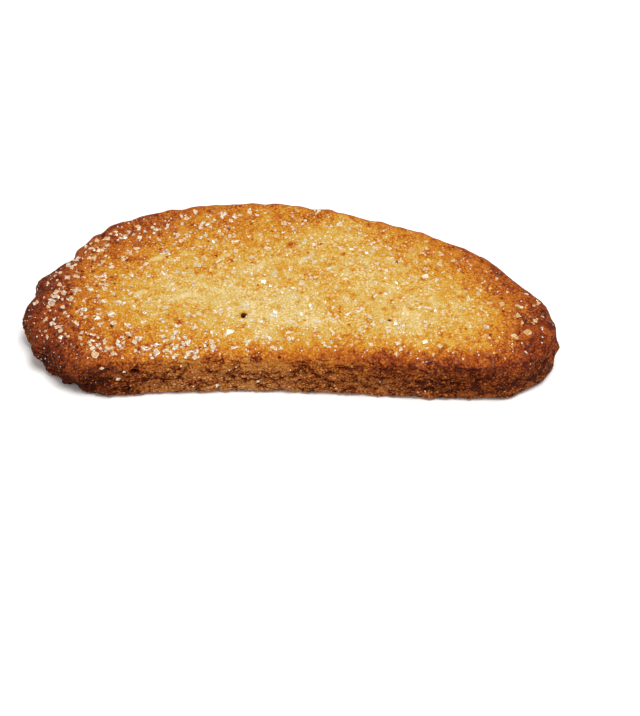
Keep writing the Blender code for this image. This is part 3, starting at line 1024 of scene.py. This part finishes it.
def crumb_colour(tree, crumb, brown):
    """The colour of the crumb, with sugar dust and painted sparkle on its cut faces, and char and painted
    shade in the deepest hollows.
    """
    face, torn = (
        node(tree, "ShaderNodeValToRGB", links={"Fac": brown}, stops=colours).outputs["Color"]
        for colours in (FACE_COLOURS, TORN_COLOURS))
    # Some granules are paler than the crumb: partly sugar dust that melted in, partly painted sparkle.
    dust_and_sparkle = node(
        tree, "ShaderNodeMapRange", zip(LIMITS, (0.8, 0.9, 0.0, 0.55)),
        {"Value": crumb.each_granule}).outputs["Result"]
    on_pale = node(
        tree, "ShaderNodeMapRange", zip(LIMITS, (0.2, 0.55, 1.0, 0.2)),
        {"Value": crumb.browning}).outputs["Result"]
    for less in (on_pale, crumb.rough):
        dust_and_sparkle = node(tree, "ShaderNodeMath", links={0: dust_and_sparkle, 1: less}, operation="MULTIPLY").outputs[0]
    # the deepest pits and holes turn nearly black: char and painted shade
    charred_and_shaded = node(
        tree, "ShaderNodeMapRange", zip(LIMITS, (0.62, 0.95, 0.0, 0.85)),
        {"Value": crumb.hollow}).outputs["Result"]
    face = node(
        tree, "ShaderNodeMix", {7: linear(DUST_AND_SPARKLE_COLOUR)}, {0: dust_and_sparkle, 6: face}, data_type="RGBA").outputs[2]
    both = node(tree, "ShaderNodeMix", links={0: crumb.torn, 6: face, 7: torn}, data_type="RGBA").outputs[2]
    return node(
        tree, "ShaderNodeMix", {7: linear(CHAR_AND_SHADE_COLOUR)}, {0: charred_and_shaded, 6: both}, data_type="RGBA").outputs[2]


def crumb_height(tree, crumb, cracks):
    """The relief of the crumb's patterns, in millimetres."""
    granules = node(
        tree, "ShaderNodeMath", {1: -GRANULE_RISE}, {0: crumb.granules}, operation="MULTIPLY").outputs[0]
    granules = node(
        tree, "ShaderNodeMath", links={0: granules, 1: crumb.rough}, operation="MULTIPLY").outputs[0]
    flakes = node(
        tree, "ShaderNodeMapRange", {"From Max": 0.4, "To Max": FLAKE_RISE},
        {"Value": crumb.flake_rims}).outputs["Result"]
    for pattern, fall in ((crumb.crumbs, CRUMB_RISE), (cracks, CRACK_FALL)):
        flakes = node(
            tree, "ShaderNodeMath", {1: -fall}, {0: pattern, 2: flakes}, operation="MULTIPLY_ADD").outputs[0]
    height = node(tree, "ShaderNodeMix", links={0: crumb.torn, 2: granules, 3: flakes}).outputs[0]
    return node(
        tree, "ShaderNodeMath", {1: GRIT_RISE}, {0: crumb.grit, 2: height},
        operation="MULTIPLY_ADD").outputs[0]


def baked_crumb():
    """Twice-baked crumb: matt and granular, golden where it is pale and red-brown where it is deep.

    The cut faces have granules of about 0.5 mm whose gaps stay darker, clear in some places and smooth
    in others. The straight side is torn crumb, in level flakes of about 0.8 mm with thin dark gaps. The
    darkness of the gaps and cracks is partly the crumb's own colour and partly painted shade, and pits
    and holes are darkened as painted shade. The dome's skin is smoother and shines.
    """
    material, tree, shader = new_material("baked_crumb")
    crumb = crumb_values(tree)
    cracks = crumb_cracks(tree, crumb)
    colour = crumb_colour(tree, crumb, crumb_browning(tree, crumb, cracks))
    tree.links.new(colour, shader.inputs["Base Color"])
    for socket, least, most in (("Roughness", 0.75, 0.46), ("Specular IOR Level", 0.07, 0.22)):
        value = node(tree, "ShaderNodeMapRange", {"To Min": least, "To Max": most}, {"Value": crumb.crust})
        tree.links.new(value.outputs["Result"], shader.inputs[socket])
    shader.inputs["IOR"].default_value = 1.45
    height = crumb_height(tree, crumb, cracks)
    bump = node(tree, "ShaderNodeBump", {"Strength": 1.0, "Distance": MM}, {"Height": height})
    tree.links.new(bump.outputs["Normal"], shader.inputs["Normal"])
    return material


def coarse_sugar():
    """Cane sugar: clear, slightly beige crystals through which the crumb shows, with a painted highlight
    on the worn edges, chips and glints.
    """
    material, tree, shader = new_material("coarse_sugar")
    where = node(tree, "ShaderNodeTexCoord").outputs["Object"]
    brown, clarity, edge = (
        node(tree, "ShaderNodeAttribute", attribute_name=name).outputs["Fac"]
        for name in ("browning", "clarity", "edge"))
    cloud, frost = (
        node(
            tree, "ShaderNodeTexNoise", {"Scale": scale(size), "Detail": detail},
            {"Vector": where}).outputs["Fac"]
        for size, detail in ((CLOUD_SIZE, 2.0), (FROST_SIZE, 1.0)))
    under, beige = (
        node(tree, "ShaderNodeValToRGB", links={"Fac": value}, stops=colours).outputs["Color"]
        for value, colours in ((brown, FACE_COLOURS), (cloud, SUGAR_COLOURS)))
    frost = node(
        tree, "ShaderNodeMapRange", zip(LIMITS, (0.35, 0.65, -0.3, 0.3)), {"Value": frost}).outputs["Result"]
    seen = node(tree, "ShaderNodeMath", links={0: clarity, 1: frost}, use_clamp=True).outputs[0]
    body = node(tree, "ShaderNodeMix", links={0: seen, 6: beige, 7: under}, data_type="RGBA").outputs[2]
    # The painted highlight on the edges of a clear grain is fainter.
    veil = node(tree, "ShaderNodeMath", {1: -0.7, 2: 1.0}, {0: clarity}, operation="MULTIPLY_ADD").outputs[0]
    bright = node(tree, "ShaderNodeMath", links={0: edge, 1: veil}, operation="MULTIPLY").outputs[0]
    colour = node(
        tree, "ShaderNodeMix", {7: linear(SUGAR_GLINT_COLOUR)}, {0: bright, 6: body}, data_type="RGBA")
    tree.links.new(colour.outputs[2], shader.inputs["Base Color"])
    shader.inputs["Roughness"].default_value = 0.16
    shader.inputs["Specular IOR Level"].default_value = 0.5
    shader.inputs["IOR"].default_value = 1.54
    shader.inputs["Subsurface Weight"].default_value = 0.8
    shader.inputs["Subsurface Radius"].default_value = (1.0, 0.9, 0.8)
    shader.inputs["Subsurface Scale"].default_value = 0.5 * MM
    return material


def large_grains():
    """The kinds of large grain: single ones, clusters, a few on the straight side, and bits round them."""
    worn = crystal_shapes(8, 5, True)
    single = sugar_places(SUGAR_SEED, SUGAR_GRAINS, SUGAR_SIZE, SUGAR_SPACING)
    bits = cluster_places(37, [(x, y, 1.3, (0, 2)) for x, y, *_ in single], (0.35, 0.85))
    stuck = cluster_places(43, SUGAR_CLUSTERS, (0.5, 1.2))
    return [
        (worn, dropped(single), (0.12, 0.3), (0.15, 0.45)),
        (worn, dropped(stuck), (0.1, 0.35), (0.05, 0.3)),
        (worn, on_wall(WALL_GRAINS), (0.3, 0.4), (0.0, 0.0)),
        (worn, dropped(bits), (0.06, 0.22), (0.15, 0.45)),
    ]


def small_grains():
    """The kinds of small grain: sunken ones and glints, more of both in the middle, and on the wall."""
    sharp = crystal_shapes(8, 6, False, brightness=0.0, chipped=0.9)
    bright = crystal_shapes(6, 7, False, brightness=1.0, chipped=1.0)
    sunk = sugar_places(31, 420, (0.6, 1.4), spacing=1.0, evenness=0.7, margin=2.4)
    glints = sugar_places(41, 620, (0.15, 0.42), spacing=0.5, evenness=0.4, margin=0.6)
    start, end = MIDDLE_X
    amid = sugar_places(67, 170, (0.45, 1.1), spacing=1.6, evenness=1.0, margin=3.0)
    amid = [grain for grain in amid if start < grain[0] < end]
    amid_glints = sugar_places(71, 170, (0.2, 0.45), spacing=1.2, evenness=1.0, margin=2.0)
    amid_glints = [grain for grain in amid_glints if grain[0] > start]
    on_crust = [grain for row in CRUST_GLINTS for grain in blown(*row)]
    return [
        (sharp, dropped(sunk), (0.04, 0.12), (0.05, 0.4)),
        (bright, dropped(glints), (0.04, 0.1), GLINT_CLEARNESS),
        (sharp, dropped(amid), (0.08, 0.18), (0.0, 0.25)),
        (bright, dropped(amid_glints), (0.08, 0.14), GLINT_CLEARNESS),
        (bright, on_crust, (0.1, 0.2), GLINT_CLEARNESS),
    ]


def make_rusk():
    """The slice and the sugar on it, centred on the frame's own box."""
    mesh = slice_mesh("rusk_slice")
    face = bmesh.new()
    face.from_mesh(mesh)
    tree = BVHTree.FromBMesh(face)
    face.free()
    sugar = coarse_sugar()
    made = [
        add_piece("rusk_slice", mesh, baked_crumb()),
        add_piece("coarse_sugar", strewn("coarse_sugar", large_grains(), tree, 1), sugar),
        add_piece("sunken_sugar", strewn("sunken_sugar", small_grains(), tree, 2), sugar),
    ]
    low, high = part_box(NODE)
    shift = Vector((0.0, 0.0, 0.0))
    for axis in (0, 1):
        along = [vert.co[axis] for vert in mesh.vertices]
        shift[axis] = (low[axis] + high[axis] - min(along) - max(along)) / 2.0
    for piece in made:
        piece.data.transform(Matrix.Translation(shift))
    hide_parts(NODE)


def add_camera():
    """The camera, looking down on the slice from its straight side."""
    elevation = math.radians(CAMERA_ELEVATION)
    back = Vector((0.0, -math.cos(elevation), math.sin(elevation)))
    data = bpy.data.cameras.new("camera")
    data.lens = CAMERA_LENS
    data.clip_start = CAMERA_CLIP * MM
    camera = add_object("camera", data)
    camera.location = (Vector(CAMERA_AIM) + back * CAMERA_DISTANCE) * MM
    camera.rotation_mode = "QUATERNION"
    camera.rotation_quaternion = (-back).to_track_quat("-Z", "Y")
    bpy.context.scene.camera = camera


def add_light():
    """A large soft square studio light that faces the slice, above it and to the right."""
    data = bpy.data.lights.new("soft_key", "AREA")
    data.size = LIGHT_SIZE * MM
    data.energy = LIGHT_POWER
    lamp = add_object("soft_key", data)
    lamp.location = Vector(LIGHT_PLACE) * MM
    lamp.rotation_mode = "QUATERNION"
    lamp.rotation_quaternion = (-Vector(LIGHT_PLACE)).to_track_quat("-Z", "Y")


def add_studio():
    """A floor of white paper, the light, and a white surround."""
    bm = bmesh.new()
    bmesh.ops.create_grid(bm, x_segments=1, y_segments=1, size=FLOOR_HALF * MM)
    mesh = finished(bm, "floor")
    paper, _, shader = new_material("white_paper")
    shader.inputs["Base Color"].default_value = linear(PAPER_COLOUR)
    shader.inputs["Roughness"].default_value = 0.9
    mesh.materials.append(paper)
    add_object("floor", mesh)
    add_light()
    world = bpy.data.worlds.new("surround")
    world.use_nodes = True
    surround = world.node_tree.nodes["Background"]
    surround.inputs["Color"].default_value, surround.inputs["Strength"].default_value = SURROUND
    bpy.context.scene.world = world
    bpy.context.scene.view_settings.view_transform = "Standard"


add_camera()
add_studio()
make_rusk()
